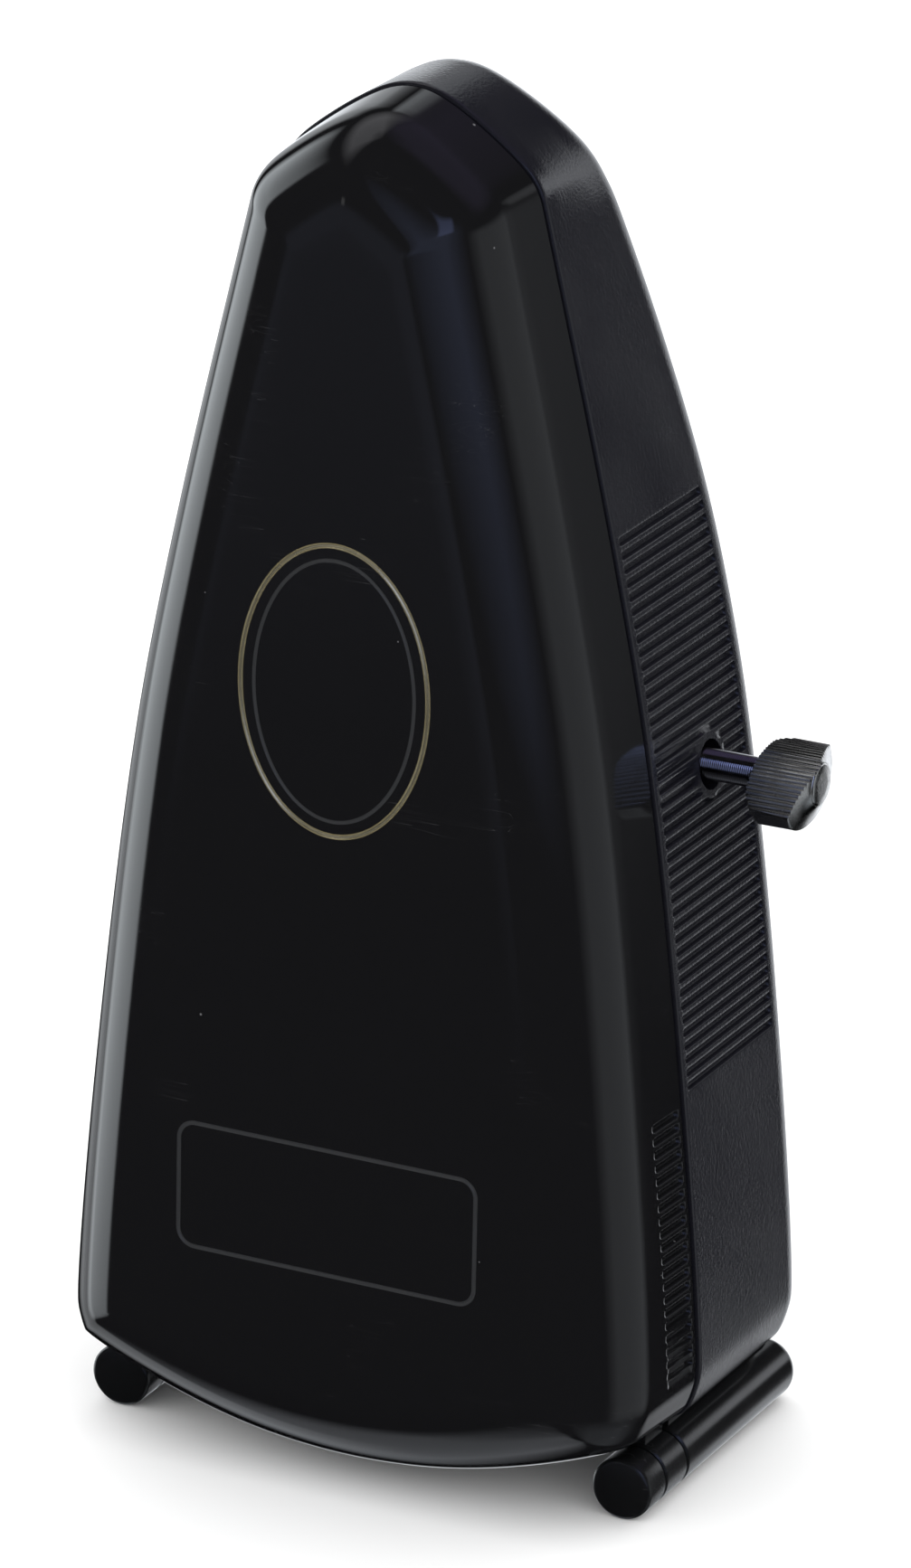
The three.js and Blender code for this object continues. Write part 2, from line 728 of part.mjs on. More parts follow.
const plateBores = [
  ...PILLARS.map(([y, z]) => [y, z, 1.05]),
  [...SPRING_POST, 0.95],
];
const trainBores = [[KEY.y, SECOND_Z, 0.9], [KEY.y, ESCAPE_Z, 0.9]];
const leftBores = [...plateBores, ...trainBores, [KEY.y, KEY.z, 1.3]];
const rightBores = [...plateBores, trainBores[0], [KEY.y, KEY.z, 1.8]];
place("plate_left", sidePlate(-1, leftBores), BRASS);
place("plate_right", sidePlate(1, rightBores), BRASS);
place("train_plate", trainPlate(), BRASS);
PILLARS.forEach((at, k) => place(`pillar_${k + 1}`, pillar(at), STEEL));
place("spring_post", springPost(), STEEL);
place("mainspring", mainspring(), BLUED);
place("verge_bush", vergeBush(), BRASS);
place("rear_bearing", rearBearing(), BRASS);

place("winding_arbor", windingArbor(), STEEL);
place("ratchet_wheel", ratchetWheel(), STEEL);
place("key_shaft", keyShaft(), NICKEL);
place("key_knob", keyKnob(), NICKEL);
place("great_wheel", greatWheel(), BRASS);
place("click", click(), STEEL);
place("click_spring", clickSpring(), BLUED);
place("second_arbor", secondArbor(), STEEL);
place("second_wheel", secondWheel(), BRASS);
place("escape_arbor", escapeArbor(), STEEL);
place("crown_wheel", crownWheel(), BRASS);

place("verge_arbor", vergeArbor(), STEEL);
place("pallet_front", pallet(KEY.y - 5.6, 45), STEEL);
place("pallet_rear", pallet(KEY.y + 5.6, -45), STEEL);
place("pendulum_rod", rodZ(ROD.r, ROD.foot, ROD.tip, 0, ROD.y, 16), STEEL);
place("counterweight", counterweight(), BRASS);
place("tempo_weight", tempoWeight(), RED);
place("weight_spring", weightSpring(), STEEL);

export default root;
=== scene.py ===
import math

import bmesh
import bpy
import numpy as np
from mathutils import Matrix, Vector


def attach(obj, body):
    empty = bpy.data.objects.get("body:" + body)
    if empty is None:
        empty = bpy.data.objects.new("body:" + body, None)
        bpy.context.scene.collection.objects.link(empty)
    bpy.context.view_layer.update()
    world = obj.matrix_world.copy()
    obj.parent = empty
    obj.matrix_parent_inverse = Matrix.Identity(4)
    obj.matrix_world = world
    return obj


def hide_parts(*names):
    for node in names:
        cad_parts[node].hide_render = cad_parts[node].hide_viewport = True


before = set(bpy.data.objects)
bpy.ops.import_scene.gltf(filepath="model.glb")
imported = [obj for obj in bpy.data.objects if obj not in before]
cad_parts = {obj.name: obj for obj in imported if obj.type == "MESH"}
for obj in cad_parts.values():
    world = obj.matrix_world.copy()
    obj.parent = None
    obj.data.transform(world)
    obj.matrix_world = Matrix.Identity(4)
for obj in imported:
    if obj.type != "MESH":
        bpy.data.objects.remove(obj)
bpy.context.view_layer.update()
MM = 0.001

# ---- Camera ----
# A long lens looks down on the metronome from its front right, so the cover's
# face, the ribbed side and the winding key all show.
azimuth, elevation, roll = (math.radians(a) for a in (27.2956, 20.7965, 0.3879))
across = Vector((math.cos(azimuth), math.sin(azimuth), 0))
ahead = Vector(
    (
        -math.sin(azimuth) * math.cos(elevation),
        math.cos(azimuth) * math.cos(elevation),
        -math.sin(elevation),
    )
)
upward = across.cross(ahead)
view_x = across * math.cos(roll) + upward * math.sin(roll)
view_y = upward * math.cos(roll) - across * math.sin(roll)
lens = bpy.data.cameras.new("long_lens")
lens.sensor_width = 36
lens.lens = 199.886
lens.shift_x = 0.005634
lens.shift_y = -0.00308
lens.clip_start = 0.05
lens.clip_end = 20
camera = bpy.data.objects.new("camera", lens)
camera.matrix_world = Matrix.Translation((0.41098, -0.78770, 0.41559)) @ Matrix(
    (view_x, view_y, -ahead)
).transposed().to_4x4()
bpy.context.scene.collection.objects.link(camera)
bpy.context.scene.camera = camera

# ---- Studio ----
# A pale matt table under the metronome, pale surroundings behind it, and long
# soft panels to its sides whose reflections run down the gloss plastic.
def new_material(name, color, roughness, metallic=0.0):
    material = bpy.data.materials.new(name)
    material.use_nodes = True
    shader = material.node_tree.nodes["Principled BSDF"]
    shader.inputs["Base Color"].default_value = (*color, 1)
    shader.inputs["Roughness"].default_value = roughness
    shader.inputs["Metallic"].default_value = metallic
    return material


def mesh_object(name, bm, *materials):
    mesh = bpy.data.meshes.new(name)
    bm.to_mesh(mesh)
    bm.free()
    piece = bpy.data.objects.new(name, mesh)
    bpy.context.scene.collection.objects.link(piece)
    for material in materials:
        mesh.materials.append(material)
    return piece


TABLE_R = 1.6
FILL_STRENGTH = 1.6
bm = bmesh.new()
bmesh.ops.create_circle(bm, cap_ends=True, segments=96, radius=TABLE_R)
table_paint = new_material("table_paint", (0.93, 0.93, 0.93), 0.8)
table_shader = table_paint.node_tree.nodes["Principled BSDF"]
table_shader.inputs["Specular IOR Level"].default_value = 0.2
table = mesh_object("table", bm, table_paint)
table.visible_glossy = False

world = bpy.data.worlds.new("studio")
bpy.context.scene.world = world
world.use_nodes = True
wt = world.node_tree
wt.nodes.clear()


def world_node(kind, **settings):
    node = wt.nodes.new(kind)
    for key, value in settings.items():
        setattr(node, key, value)
    return node


def world_math(operation, a, b=None, clamp=False):
    node = world_node("ShaderNodeMath", operation=operation, use_clamp=clamp)
    for socket, value in zip(node.inputs, (a, b)):
        if value is None:
            continue
        if isinstance(value, (int, float)):
            socket.default_value = value
        else:
            wt.links.new(value, socket)
    return node.outputs[0]


# Bearing is 0 straight behind the metronome and 90 to its right; height is
# measured up from the horizon, both in degrees.
direction = world_node("ShaderNodeTexCoord").outputs["Generated"]
parts = world_node("ShaderNodeSeparateXYZ")
wt.links.new(direction, parts.inputs[0])
dx, dy, dz = parts.outputs
bearing = world_math("MULTIPLY", world_math("ARCTAN2", dx, dy), 180 / math.pi)
height = world_math("MULTIPLY", world_math("ARCSINE", dz), 180 / math.pi)


def ramp(value, low, high):
    span = world_math("SUBTRACT", value, low)
    return world_math("DIVIDE", span, high - low, clamp=True)


def panel(left, right, bottom, top, edges, slope):
    """1 inside a panel given in degrees of bearing and height, 0 outside it.
    Each side has its own soft border, and slope leans the panel over."""
    rise = world_math("MAXIMUM", world_math("MINIMUM", world_math("ADD", height, 10), 3), -14)
    at = world_math("SUBTRACT", bearing, world_math("MULTIPLY", rise, slope))
    soft_left, soft_right, soft_bottom, soft_top = (edge / 2 for edge in edges)
    a = ramp(at, left - soft_left, left + soft_left)
    b = ramp(at, right + soft_right, right - soft_right)
    c = ramp(height, bottom - soft_bottom, bottom + soft_bottom)
    d = ramp(height, top + soft_top, top - soft_top)
    return world_math("MULTIPLY", world_math("MULTIPLY", a, b), world_math("MULTIPLY", c, d))


def tinted(mask, color, strength):
    node = world_node("ShaderNodeMix", data_type="RGBA")
    wt.links.new(mask, node.inputs["Factor"])
    node.inputs[6].default_value = (0, 0, 0, 1)
    node.inputs[7].default_value = (*(c * strength for c in color), 1)
    return node.outputs[2]


def added(a, b):
    node = world_node("ShaderNodeMix", data_type="RGBA", blend_type="ADD")
    node.inputs["Factor"].default_value = 1
    wt.links.new(a, node.inputs[6])
    wt.links.new(b, node.inputs[7])
    return node.outputs[2]


# Only reflections see the panels. Each is: left, right, bottom, top (degrees),
# the width of its four soft borders in that order, slope, color, strength.
PANELS = [
    (-105, -66, -24, 24, (4, 8, 12, 14), 1.6, (0.90, 0.96, 1.0), 2.5),
    (-58, -20, -60, 24, (5, 16, 20, 14), 3.0, (0.92, 0.96, 1.0), 0.75),
    (-150, -40, -88, -54, (20, 30, 20, 9), 0, (0.88, 0.93, 1.0), 0.62),
    (-32, 21, -36, 14, (8, 8, 14, 14), 0, (0.92, 0.95, 1.0), 1.2),
    (24, 37, 4, 20, (6, 5, 5, 8), 0, (0.92, 0.95, 1.0), 1.6),
    (-22, -4, 28, 40, (5, 5, 5, 5), 0, (0.90, 0.95, 1.0), 0.9),
    (120, 178, -4, 34, (24, 14, 10, 20), 0, (0.46, 0.56, 0.96), 0.5),
    (124, 146, 26, 48, (5, 5, 5, 5), 0, (0.42, 0.52, 1.0), 1.1),
    (-178, -138, -15, 6, (6, 6, 6, 8), 0, (0.62, 0.70, 1.0), 0.16),
    (-4, 80, 40, 78, (24, 24, 16, 16), 0, (0.62, 0.52, 1.0), 0.2),
    (-125, -12, 46, 84, (30, 30, 16, 16), 0, (0.95, 0.95, 1.0), 0.9),
    (-160, -148, 6, 13, (4, 4, 3, 3), 0, (1.0, 1.0, 1.0), 0.6),
    (42, 98, -30, 14, (10, 16, 10, 10), 0, (0.90, 0.95, 1.0), 0.4),
    (60, 140, -80, -35, (30, 30, 20, 20), 0, (0.85, 0.92, 1.0), 0.3),
]
light = None
for *borders, color, strength in PANELS:
    shine = tinted(panel(*borders), color, strength)
    light = added(light, shine) if light else shine

paths = world_node("ShaderNodeLightPath")
seen = world_node("ShaderNodeBackground")
seen.inputs["Color"].default_value = (1, 1, 1, 1)
gloss = world_node("ShaderNodeBackground")
wt.links.new(light, gloss.inputs["Color"])
fill = world_node("ShaderNodeBackground")
fill.inputs["Color"].default_value = (1, 1, 1, 1)
fill.inputs["Strength"].default_value = FILL_STRENGTH
mix_gloss = world_node("ShaderNodeMixShader")
wt.links.new(paths.outputs["Is Glossy Ray"], mix_gloss.inputs[0])
wt.links.new(fill.outputs[0], mix_gloss.inputs[1])
wt.links.new(gloss.outputs[0], mix_gloss.inputs[2])
mix_seen = world_node("ShaderNodeMixShader")
wt.links.new(paths.outputs["Is Camera Ray"], mix_seen.inputs[0])
wt.links.new(mix_gloss.outputs[0], mix_seen.inputs[1])
wt.links.new(seen.outputs[0], mix_seen.inputs[2])
world_out = world_node("ShaderNodeOutputWorld")
wt.links.new(mix_seen.outputs[0], world_out.inputs[0])
scene_view = bpy.context.scene.view_settings
scene_view.view_transform = "Standard"

# ---- Rear case ----
# The back half of the body: one injection moulding in black ABS with a fine
# satin texture. Its sides carry 41 sunk flutes and its mouth meets the cover.
OUTLINE = [
    (0, 157), (3.3, 156.4), (7.7, 154), (12.1, 150.8), (14.4, 148.6),
    (15.6, 146.4), (16.3, 143.4), (18.4, 134.8), (22.3, 118.4), (25.9, 101.8),
    (28.8, 86.6), (31.3, 68.8), (33.4, 50), (35.2, 31), (36.1, 17.5),
    (35.95, 13.4), (35, 10.6), (32.9, 8.6), (25, 5.4), (16, 2.8),
    (8, 1.45), (0, 1),
]
BACK = [
    (1, 27.3), (60, 27.7), (90, 27.4), (105, 26.7), (115, 25.3),
    (131, 21.9), (144, 18.2), (152, 15.9), (157, 13.5),
]
SPINE = (24, 138)
FIT = 0.15
WALL = 2.0
REAR_BEND = 4.5
SHOULDER_Z, SHOULDER_SPREAD, SHOULDER_EASE = 147.8, 3.4, 0.6
FLUTE_PITCH = 1.53
FLUTE_HALF = 0.5
FLUTE_DEPTH = 0.5
FLUTE_WALL = 0.14
FLUTE_CORNER = 0.3
CASE_FLUTES = 109.1 - FLUTE_PITCH * np.arange(41)
CASE_FLUTE_FRONT = 1.3
CASE_FLUTE_REAR = 4.9
KEY_Y, KEY_Z = 13.9, 80.6
KEY_HOLE_R = 2.8
KEY_LAND = 3.7


def back_at(z):
    """Depth of the case's back at height z, with its bends eased."""
    table = np.array(BACK, float)
    around = np.arange(-6, 7)
    return np.mean([np.interp(z + o, table[:, 0], table[:, 1]) for o in around], 0)


def smooth_outline():
    """The parting outline as a dense smooth convex ring, clockwise from the crown."""
    corners = np.array(OUTLINE + [(-x, z) for x, z in OUTLINE[-2:0:-1]], float)
    cage = corners.copy()
    for _ in range(2):
        cage += corners - (np.roll(cage, 1, 0) + 4 * cage + np.roll(cage, -1, 0)) / 6
    for _ in range(5):
        kept = (np.roll(cage, 1, 0) + 6 * cage + np.roll(cage, -1, 0)) / 8
        middle = (cage + np.roll(cage, -1, 0)) / 2
        cage = np.stack([kept, middle], 1).reshape(-1, 2)
    while True:
        before = cage - np.roll(cage, 1, 0)
        after = np.roll(cage, -1, 0) - cage
        hollow = before[:, 0] * after[:, 1] - before[:, 1] * after[:, 0] > 1e-9
        if not hollow.any():
            return cage
        cage = cage[~hollow]


RING = smooth_outline()
EDGE = np.roll(RING, -1, 0) - RING
NORMAL = np.stack([-EDGE[:, 1], EDGE[:, 0]], 1) / np.hypot(*EDGE.T)[:, None]
REACH = (NORMAL * RING).sum(1)


def inset_rows(rows, inset):
    """Each row point moved inwards along its ray until the outline is inset."""
    base = np.clip(rows[:, 1], *SPINE)
    ray = rows - np.stack([np.zeros_like(base), base], 1)
    ray /= np.hypot(*ray.T)[:, None]
    along = ray @ NORMAL.T
    room = REACH[None] - NORMAL[None, :, 1] * base[:, None] - np.reshape(inset, (-1, 1))
    reach = np.where(along > 1e-6, room / np.maximum(along, 1e-6), np.inf).min(1)
    return np.stack([ray[:, 0] * reach, base + ray[:, 1] * reach], 1)


def right_half():
    """The outline's right half, from the crown down to the belly."""
    right = RING[RING[:, 0] >= -1e-9]
    return right[np.argsort(-right[:, 1])]


def both_halves(half):
    """A whole outline from its right half, so both sides meet at the middle."""
    return np.concatenate([half, half[-2:0:-1] * (-1, 1)])


def outline_rows(flutes):
    """Points round the outline, close together where a flute's walls need them."""
    right = right_half()
    walls = (-0.53, -0.48, -0.43, -0.37, 0, 0.37, 0.43, 0.48, 0.53)
    heights = [z + w for z in flutes for w in walls]
    top, bottom = max(heights) + 0.3, min(heights) - 0.3
    heights += list(np.arange(bottom, 16, -1)) + list(np.arange(top, 112, 1))
    heights = np.array(sorted((z for z in heights if z > 14.5), reverse=True))
    side = np.stack([np.interp(-heights, -right[:, 1], right[:, 0]), heights], 1)
    length = np.concatenate([[0], np.cumsum(np.hypot(*np.diff(right, axis=0).T))])
    first, last = np.interp((-heights[0], -heights[-1]), -right[:, 1], length)

    def run(start, end, count):
        s = np.linspace(start, end, count)
        return np.stack([np.interp(s, length, right[:, k]) for k in (0, 1)], 1)

    crown = run(0, first, 90)[:-1]
    belly = run(last, length[-1], 80)[1:]
    return both_halves(np.concatenate([crown, side, belly]))


def flute_depth(y, z, flutes, front, rear):
    """How far the surface sinks at (y, z) for slots with rounded corners."""
    near = flutes[np.abs(z[:, None] - flutes[None]).argmin(1)]
    dz = np.abs(z - near) - (FLUTE_HALF - FLUTE_CORNER)
    dy = np.abs(y - (front + rear) / 2) - ((rear - front) / 2 - FLUTE_CORNER)
    outside = np.hypot(np.maximum(dz, 0), np.maximum(dy, 0))
    edge = outside + np.minimum(np.maximum(dz, dy), 0) - FLUTE_CORNER
    sunk = np.clip(-edge / FLUTE_WALL, 0, 1)
    return FLUTE_DEPTH * sunk * sunk * (3 - 2 * sunk)


def loft(rows, levels, sink):
    """A closed shell: a grid whose lines are the levels, each an inset, a depth
    and a shrink towards the middle, welded along its seam and at both ends."""
    count = len(rows)
    spine = np.stack([np.zeros(count), np.clip(rows[:, 1], *SPINE)], 1)
    places = []
    for inset, depth, shrink, outer in levels:
        flat = spine + (inset_rows(rows, inset(rows[:, 1])) - spine) * shrink
        y = depth(rows[:, 1], flat[:, 1])
        if outer:
            dip = sink(y, flat[:, 1], flat[:, 0])
            flat[:, 0] -= np.sign(flat[:, 0]) * dip
        line = np.stack([flat[:, 0], y, flat[:, 1]], 1)
        places.append(np.concatenate([line, line[:1]]))
    bm = bmesh.new()
    bmesh.ops.create_grid(bm, x_segments=count, y_segments=len(levels) - 1, size=1)
    for vert, place in zip(bm.verts, np.concatenate(places) * MM):
        vert.co = place
    bmesh.ops.remove_doubles(bm, verts=bm.verts, dist=2e-6)
    bmesh.ops.dissolve_degenerate(bm, dist=1e-7, edges=bm.edges)
    bmesh.ops.recalc_face_normals(bm, faces=bm.faces)
    return bm


def constant(value):
    return lambda row, *rest: np.full(len(row), float(value))


def eased(amount, part):
    """An inset that also eases the shoulders, by more towards the rear."""

    def inset(row):
        near = np.exp(-(((row - SHOULDER_Z) / SHOULDER_SPREAD) ** 2))
        return amount + SHOULDER_EASE * part * near

    return inset


def case_levels(wall, bend):
    """From the middle of the inner back wall, out over the mouth, to the outer one."""
    inner_bend = bend - wall
    quarter = math.pi / 2
    levels = []
    for shrink in (0, 0.5):
        inset = constant(wall + inner_bend)
        levels.append((inset, lambda row, z: back_at(z) - wall, shrink, False))
    for turn in np.linspace(quarter, 0, 6):
        inset = constant(wall + inner_bend * (1 - math.cos(turn)))
        drop = wall + inner_bend * (1 - math.sin(turn))
        levels.append((inset, lambda row, z, d=drop: back_at(z) - d, 1, False))
    lip = ((wall, 10), (wall, FIT + 0.12), (wall - 0.12, FIT), (0.25, FIT), (0.07, FIT + 0.07))
    for inset, y in lip:
        levels.append((constant(inset), constant(y), 1, False))
    for y in (0.4, 0.9, 1.2, 1.3, 1.38, 1.46, 1.56, 1.7, 2.1, 2.6):
        levels.append((constant(0), constant(y), 1, True))
    for part in (0.12, 0.25, *np.linspace(0.372, 0.835, 19), 0.92):
        depth = lambda row, z, f=part: 2.6 + f * (back_at(row) - 8.8)
        levels.append((eased(0, part), depth, 1, True))
    for drop in (6.2, 5.7, 5.35, 5.2, 5.08, 5.0, 4.92, 4.84, 4.7):
        levels.append((eased(0, 1), lambda row, z, d=drop: back_at(row) - d, 1, True))
    for turn in np.linspace(0, quarter, 14):
        inset = eased(bend * (1 - math.cos(turn)), 1)
        drop = bend * (1 - math.sin(turn))
        levels.append((inset, lambda row, z, d=drop: back_at(z) - d, 1, False))
    for shrink in (0.66, 0.33, 0):
        levels.append((eased(bend, 1), lambda row, z: back_at(z), shrink, False))
    return levels


def case_sink(y, z, x):
    rear = back_at(z) - CASE_FLUTE_REAR
    depth = flute_depth(y, z, CASE_FLUTES, CASE_FLUTE_FRONT, rear)
    from_key = np.hypot(y - KEY_Y, z - KEY_Z)
    plain = np.where(x > 0, np.clip((from_key - KEY_LAND) / 0.2, 0, 1), 1)
    return depth * plain


def smooth(piece, angle):
    """Smooth shading that stays crisp over edges sharper than the angle."""
    piece.data.shade_smooth()
    piece.data.set_sharp_from_angle(angle=math.radians(angle))
    return piece


def cut_away(piece, tool, operation="DIFFERENCE"):
    """piece with the tool's solid cut out of it, as one plain mesh again. Faces
    left by a tool with a material of its own keep that material."""
    modifier = piece.modifiers.new("cut", "BOOLEAN")
    modifier.object = tool
    modifier.operation = operation
    modifier.solver = "EXACT"
    if tool.data.materials:
        modifier.material_mode = "TRANSFER"
    bpy.context.view_layer.update()
    solid = piece.evaluated_get(bpy.context.evaluated_depsgraph_get())
    result = bpy.data.meshes.new_from_object(solid)
    piece.modifiers.clear()
    old = piece.data
    piece.data = result
    result.name = piece.name
    bpy.data.meshes.remove(old)
    bpy.data.objects.remove(tool)
    return piece


def turned(profile, axis, centre, steps=64):
    """A turned solid; the profile is (radius, distance along the axis) in mm."""
    along = Vector(axis)
    side = Vector((0, 0, 1)) if abs(along.z) < 0.5 else Vector((1, 0, 0))
    bm = bmesh.new()
    verts = [bm.verts.new(along * (a * MM) + side * (r * MM)) for r, a in profile]
    edges = [bm.edges.new(pair) for pair in zip(verts, verts[1:])]
    bmesh.ops.spin(
        bm, geom=verts + edges, axis=along, cent=(0, 0, 0),
        angle=2 * math.pi, steps=steps, use_merge=True, use_duplicate=False,
    )
    bmesh.ops.remove_doubles(bm, verts=bm.verts, dist=1e-7)
    bmesh.ops.recalc_face_normals(bm, faces=bm.faces)
    bmesh.ops.translate(bm, verts=bm.verts, vec=Vector(centre) * MM)
    return bm


def put(tree, kind, inputs=None, **settings):
    """A new node in a tree, its sockets linked or set, its settings applied."""
    node = tree.nodes.new("ShaderNode" + kind)
    for key, value in settings.items():
        setattr(node, key, value)
    for key, value in (inputs or {}).items():
        if isinstance(value, bpy.types.NodeSocket):
            tree.links.new(value, node.inputs[key])
        else:
            node.inputs[key].default_value = value
    return node


def put_math(tree, operation, *values, clamp=False):
    inputs = dict(enumerate(values))
    return put(tree, "Math", inputs, operation=operation, use_clamp=clamp).outputs[0]


def put_mix(tree, factor, a, b):
    inputs = {"Factor": factor, 6: a, 7: b}
    return put(tree, "Mix", inputs, data_type="RGBA").outputs[2]


def effect_group(name, inputs):
    """A node group with the given inputs and the three effect outputs."""
    group = bpy.data.node_groups.new(name, "ShaderNodeTree")
    for label, kind in inputs:
        socket_type = "NodeSocket" + kind
        group.interface.new_socket(label, in_out="INPUT", socket_type=socket_type)
    for label, kind in (("Color", "Color"), ("Roughness", "Float"), ("Height", "Float")):
        group.interface.new_socket(label, in_out="OUTPUT", socket_type="NodeSocket" + kind)
    return group, group.nodes.new("NodeGroupInput").outputs, group.nodes.new("NodeGroupOutput")


def stretched(tree, coordinate, scale, turn=(0, 0, 0)):
    inputs = {"Vector": coordinate, "Scale": scale, "Rotation": turn}
    return put(tree, "Mapping", inputs).outputs[0]


# Moulded plastic: a fine grain, handling smears, a few hairlines and dust specks.
plastic_group, given, results = effect_group(
    "moulded_plastic",
    [("Coordinate", "Vector"), ("Base", "Color"), ("Gloss", "Float"), ("Grain", "Float"),
     ("Handling", "Float"), ("Dust", "Float")],
)
pt = plastic_group
grain = put(pt, "TexNoise", {"Vector": given["Coordinate"], "Scale": 2600.0, "Detail": 2.0})
ripple = put(pt, "TexNoise", {"Vector": given["Coordinate"], "Scale": 170.0, "Detail": 1.0})
smear = put(pt, "TexNoise", {"Vector": given["Coordinate"], "Scale": 42.0, "Detail": 4.0,
                             "Distortion": 0.7})
scratch_space = stretched(pt, given["Coordinate"], (35.0, 900.0, 1900.0), (0.5, 0.35, 0.8))
scratch = put(pt, "TexNoise", {"Vector": scratch_space, "Scale": 1.0, "Detail": 0.0})
line = put_math(pt, "ABSOLUTE", put_math(pt, "SUBTRACT", scratch.outputs[0], 0.5))
line = put_math(pt, "SUBTRACT", 1.0, put_math(pt, "DIVIDE", line, 0.004), clamp=True)
patch = put_math(pt, "SUBTRACT", smear.outputs[0], 0.56)
patch = put_math(pt, "MULTIPLY", patch, 8.0, clamp=True)
hairline = put_math(pt, "MULTIPLY", line, put_math(pt, "MULTIPLY", patch, given["Dust"]))
cells = put(pt, "TexVoronoi", {"Vector": given["Coordinate"], "Scale": 260.0})
chance = put(pt, "SeparateColor", {"Color": cells.outputs["Color"]}).outputs[0]
chosen = put_math(pt, "GREATER_THAN", chance, 0.8)
speck = put_math(pt, "LESS_THAN", cells.outputs["Distance"], 0.045)
dust = put_math(pt, "MULTIPLY", put_math(pt, "MULTIPLY", chosen, speck), given["Dust"])
marks = put_math(pt, "MAXIMUM", dust, put_math(pt, "MULTIPLY", hairline, 0.35))
grime = put_math(pt, "MULTIPLY", put_math(pt, "SUBTRACT", smear.outputs[0], 0.5), 2.0)
worn = put_mix(pt, put_math(pt, "MULTIPLY", marks, 0.5), given["Base"], (0.22, 0.22, 0.23, 1))
grime = put_math(pt, "MULTIPLY", grime, given["Handling"])
roughness = put_math(pt, "ADD", given["Gloss"], grime)
roughness = put_math(pt, "ADD", roughness, put_math(pt, "MULTIPLY", marks, 0.35), clamp=True)
relief = put_math(pt, "MULTIPLY", grain.outputs[0], given["Grain"])
relief = put_math(pt, "ADD", relief, put_math(pt, "MULTIPLY", ripple.outputs[0], 0.5))
for label, value in (("Color", worn), ("Roughness", roughness), ("Height", relief)):
    pt.links.new(value, results.inputs[label])


def finished(material, group, values, bump):
    """Drives a material's color, roughness and normal from an effect group."""
    tree = material.node_tree
    shader = tree.nodes["Principled BSDF"]
    coordinate = put(tree, "TexCoord").outputs["Object"]
    effect = put(tree, "Group", node_tree=group)
    tree.links.new(coordinate, effect.inputs["Coordinate"])
    effect.inputs["Base"].default_value = shader.inputs["Base Color"].default_value
    effect.inputs["Gloss"].default_value = shader.inputs["Roughness"].default_value
    for label, value in values.items():
        effect.inputs[label].default_value = value
    tree.links.new(effect.outputs["Color"], shader.inputs["Base Color"])
    tree.links.new(effect.outputs["Roughness"], shader.inputs["Roughness"])
    relief = {"Height": effect.outputs["Height"], "Distance": bump}
    tree.links.new(put(tree, "Bump", relief).outputs[0], shader.inputs["Normal"])
    return material


case_black = new_material("case_black", (0.0050, 0.0050, 0.0078), 0.24)
finished(case_black, plastic_group, {"Grain": 1.0, "Handling": 0.10, "Dust": 0.5}, 0.00003)
shell = loft(outline_rows(CASE_FLUTES), case_levels(WALL, REAR_BEND), case_sink)
rear_case = mesh_object("case_shell", shell, case_black)
hole_profile = [(0, 26), (KEY_HOLE_R, 26), (KEY_HOLE_R, 40), (0, 40)]
hole = turned(hole_profile, (1, 0, 0), (0, KEY_Y, KEY_Z))
cut_away(rear_case, mesh_object("hole", hole))
smooth(rear_case, 50)
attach(rear_case, "case")
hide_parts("rear_case")

# ---- Front cover ----
# The lift-off front: a deep gloss black moulding with a wide rounded border
# round a flat leaning face, 20 short flutes low on each side, and plain marks.
FACE_DEPTH, FACE_LEAN = 20.4, 0.028
BORDER = 10.4
BORDER_INSET = 11.255
STEP = 0.3
COVER_WALL = 1.8
COVER_TAPER = 0.555
FIRST_DRAFT = 0.07
COVER_FLUTES = 45.6 - FLUTE_PITCH * np.arange(20)
COVER_FLUTE_FRONT, COVER_FLUTE_REAR = -6.4, -0.8


def face_at(z):
    return FACE_LEAN * z - FACE_DEPTH


def draft_at(z):
    """The side's draft angle at each height, where it runs smoothly into the border."""
    angle = np.full(len(z), FIRST_DRAFT)
    for _ in range(30):
        run = -FIT - face_at(z) - BORDER * (1 - np.sin(angle))
        angle = np.arctan((BORDER_INSET - BORDER * np.cos(angle) - STEP) / run)
    return angle


def side_span(z):
    """Depth of the straight side, from the mouth to the start of the border."""
    return -FIT - face_at(z) - BORDER * (1 - np.sin(draft_at(z)))


def side_level(distance):
    """A line round the side, a distance in front of the mouth, or less where the
    side is short."""
    shallow = side_span(np.array([50.0]))[0]

    def gone(row):
        return distance * np.minimum(1, side_span(row) / shallow)

    inset = lambda row: STEP + np.tan(draft_at(row)) * gone(row)
    return inset, lambda row, z: -FIT - gone(row), 1, True


def border_level(part, shrink=1):
    """A line round the border, part of the way from the side to the face."""

    def angle(row):
        start = draft_at(row)
        return start + (math.pi / 2 - start) * part

    inset = lambda row: BORDER_INSET - BORDER * np.cos(angle(row))
    depth = lambda row, z: face_at(z) + BORDER * (1 - np.sin(angle(row)))
    return inset, depth, shrink, False


